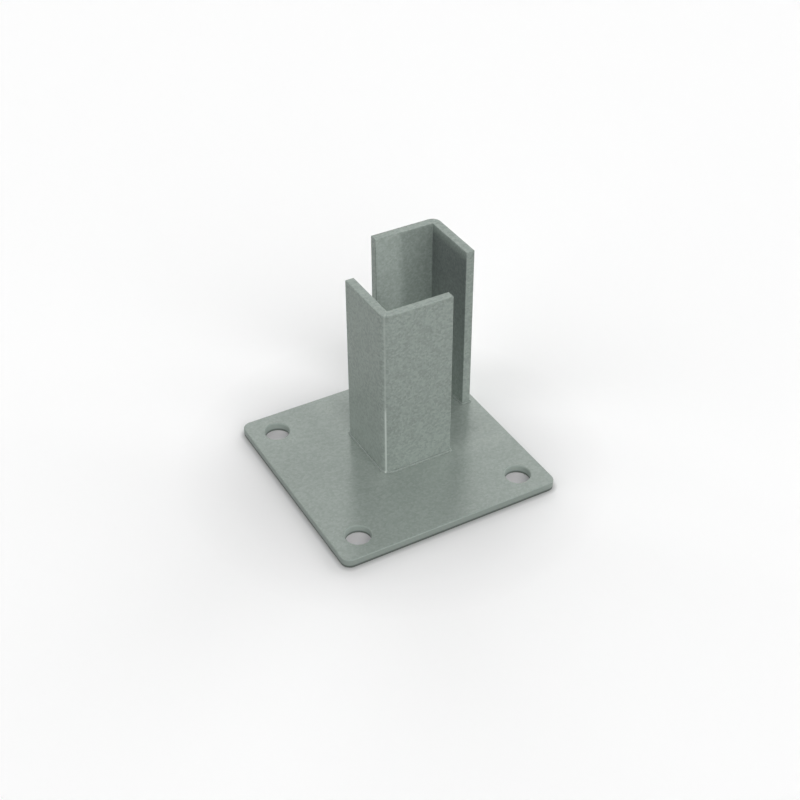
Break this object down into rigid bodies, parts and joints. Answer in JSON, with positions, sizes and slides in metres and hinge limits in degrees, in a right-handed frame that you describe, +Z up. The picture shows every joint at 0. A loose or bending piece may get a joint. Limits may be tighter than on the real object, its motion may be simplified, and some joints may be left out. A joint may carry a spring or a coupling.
{
  "type": "column base plate",
  "caption": "Square steel base plate with facing upright angles that form an open-cornered socket for a square post, and anchor holes at its free corners.",
  "frame": {"origin": "centre of the plate's underside, on the ground", "axes": "+Z up, +X along the plate's front edge, +Y along its left edge; the socket lies towards +X and +Y"},
  "size_m": [0.125, 0.125, 0.104],
  "materials": {
    "galvanised_plate": "hot-dip galvanised, satin, grey-green with a fine mottle",
    "galvanised_angle": "hot-dip galvanised, satin, grey-green with a fine mottle",
    "galvanised_weld": "weld bead under the same hot-dip zinc"
  },
  "bodies": {
    "root": {"base_plate": "galvanised_plate", "front_angle": "galvanised_angle", "rear_angle": "galvanised_angle", "front_weld": "galvanised_weld", "rear_weld": "galvanised_weld"}
  },
  "joints": []
}
